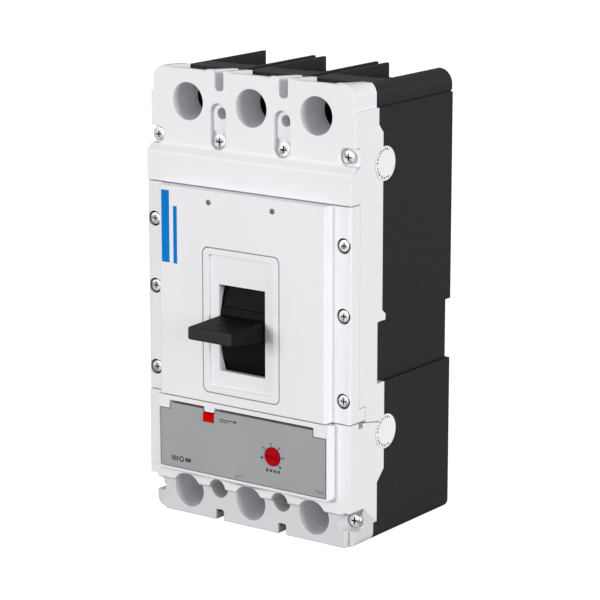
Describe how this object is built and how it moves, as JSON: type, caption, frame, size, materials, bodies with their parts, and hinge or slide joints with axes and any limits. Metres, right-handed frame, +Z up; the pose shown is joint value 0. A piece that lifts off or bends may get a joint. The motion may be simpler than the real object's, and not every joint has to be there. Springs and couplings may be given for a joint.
{
  "type": "molded case circuit breaker",
  "caption": "Three-pole moulded case circuit breaker with a front toggle, a thermal trip unit with dial and test button, and a lug at each end of each pole.",
  "frame": {"origin": "middle of the flat back mounting face", "axes": "+Z up, towards the line end; +Y out of the back face, so the toggle points along -Y; +X to the right seen from the front"},
  "size_m": [0.1397, 0.134, 0.2572],
  "materials": {
    "cover_white": "moulded, fine matt texture",
    "base_black": "moulded glass-filled polyester, satin",
    "toggle_black": "moulded, satin with rounded edges",
    "plate_grey": "printed grey plastic plate",
    "button_red": "moulded red plastic",
    "label_grey": "thin round tamper seal",
    "zinc_steel": "zinc plated steel",
    "spring_steel": "bare spring steel wire",
    "tin_plate": "tin plated aluminium",
    "copper": "bare copper strap",
    "bimetal": "rolled bimetal strip",
    "crossbar_brown": "moulded phenolic",
    "chute_fibre": "pressed fibre walls with plated steel splitter plates"
  },
  "bodies": {
    "housing": {"accessory_cover": "cover_white", "accessory_cover_screw_1": "zinc_steel", "accessory_cover_screw_2": "zinc_steel", "accessory_cover_screw_3": "zinc_steel", "accessory_cover_screw_4": "zinc_steel", "accessory_cover_screw_5": "zinc_steel", "accessory_cover_screw_6": "zinc_steel", "arc_chute_a": "chute_fibre", "arc_chute_b": "chute_fibre", "arc_chute_c": "chute_fibre", "base_housing": "base_black", "bimetal_a": "bimetal", "bimetal_b": "bimetal", "bimetal_c": "bimetal", "button_spring": "spring_steel", "cradle": "zinc_steel", "line_lug_a": "tin_plate", "line_lug_b": "tin_plate", "line_lug_c": "tin_plate", "line_lug_screw_a": "zinc_steel", "line_lug_screw_b": "zinc_steel", "line_lug_screw_c": "zinc_steel", "line_strap_a": "copper", "line_strap_b": "copper", "line_strap_c": "copper", "load_cover_screw_1": "zinc_steel", "load_cover_screw_2": "zinc_steel", "load_end_cover": "cover_white", "load_lug_a": "tin_plate", "load_lug_b": "tin_plate", "load_lug_c": "tin_plate", "load_lug_screw_a": "zinc_steel", "load_lug_screw_b": "zinc_steel", "load_lug_screw_c": "zinc_steel", "load_strap_a": "copper", "load_strap_b": "copper", "load_strap_c": "copper", "lower_seal_label": "label_grey", "main_cover": "cover_white", "main_cover_screw_1": "zinc_steel", "main_cover_screw_2": "zinc_steel", "main_cover_screw_3": "zinc_steel", "main_cover_screw_4": "zinc_steel", "mechanism_frame": "zinc_steel", "toggle_escutcheon": "cover_white", "trip_unit_faceplate": "plate_grey", "upper_seal_label": "label_grey"},
    "handle": {"toggle_handle": "toggle_black", "handle_yoke": "zinc_steel", "main_spring_left": "spring_steel", "main_spring_right": "spring_steel"},
    "contact_carrier": {"crossbar": "crossbar_brown", "contact_arm_a": "copper", "contact_arm_b": "copper", "contact_arm_c": "copper"},
    "upper_link": {"upper_toggle_link": "zinc_steel"},
    "lower_link": {"lower_toggle_link": "zinc_steel"},
    "trip_button": {"push_to_trip_button": "button_red"},
    "trip_shaft": {"trip_bar": "crossbar_brown"},
    "dial": {"trip_adjust_dial": "button_red"}
  },
  "joints": [
    {"name": "handle_pivot", "type": "hinge", "parent": "housing", "child": "handle", "pos_m": [0, -0.037, -0.01365], "axis": [-1, 0, 0], "range_deg": [-16, 14], "deforming": ["main_spring_left", "main_spring_right"]},
    {"name": "contact_carrier_pivot", "type": "hinge", "parent": "housing", "child": "contact_carrier", "pos_m": [0, -0.04, 0.00635], "axis": [1, 0, 0], "range_deg": [-11.6, 13.2]},
    {"name": "upper_link_pivot", "type": "hinge", "parent": "housing", "child": "upper_link", "pos_m": [0, -0.046, -0.02565], "axis": [1, 0, 0], "range_deg": [-8.2, 9.3]},
    {"name": "lower_link_pivot", "type": "hinge", "parent": "contact_carrier", "child": "lower_link", "pos_m": [0, -0.05187, 0.0081], "axis": [1, 0, 0], "range_deg": [-19.4, 17]},
    {"name": "trip_button_slide", "type": "slide", "parent": "housing", "child": "trip_button", "axis": [0, 1, 0], "range_m": [0, 0.003], "stiffness_N_per_m": 300, "springref_m": -0.001, "deforming": ["button_spring"]},
    {"name": "trip_shaft_pivot", "type": "hinge", "parent": "housing", "child": "trip_shaft", "pos_m": [0, -0.036, -0.05265], "axis": [1, 0, 0], "range_deg": [0, 13]},
    {"name": "dial_turn", "type": "hinge", "parent": "housing", "child": "dial", "pos_m": [0.0215, -0.1, -0.08165], "axis": [0, 1, 0], "range_deg": [-190, 48]}
  ],
  "couplings": [
    {"joint": "contact_carrier_pivot", "follows": "handle_pivot", "ratio": -0.8},
    {"joint": "upper_link_pivot", "follows": "handle_pivot", "ratio": -0.553},
    {"joint": "lower_link_pivot", "follows": "handle_pivot", "ratio": 1.184},
    {"joint": "trip_shaft_pivot", "follows": "trip_button_slide", "rad_per_m": 74}
  ]
}
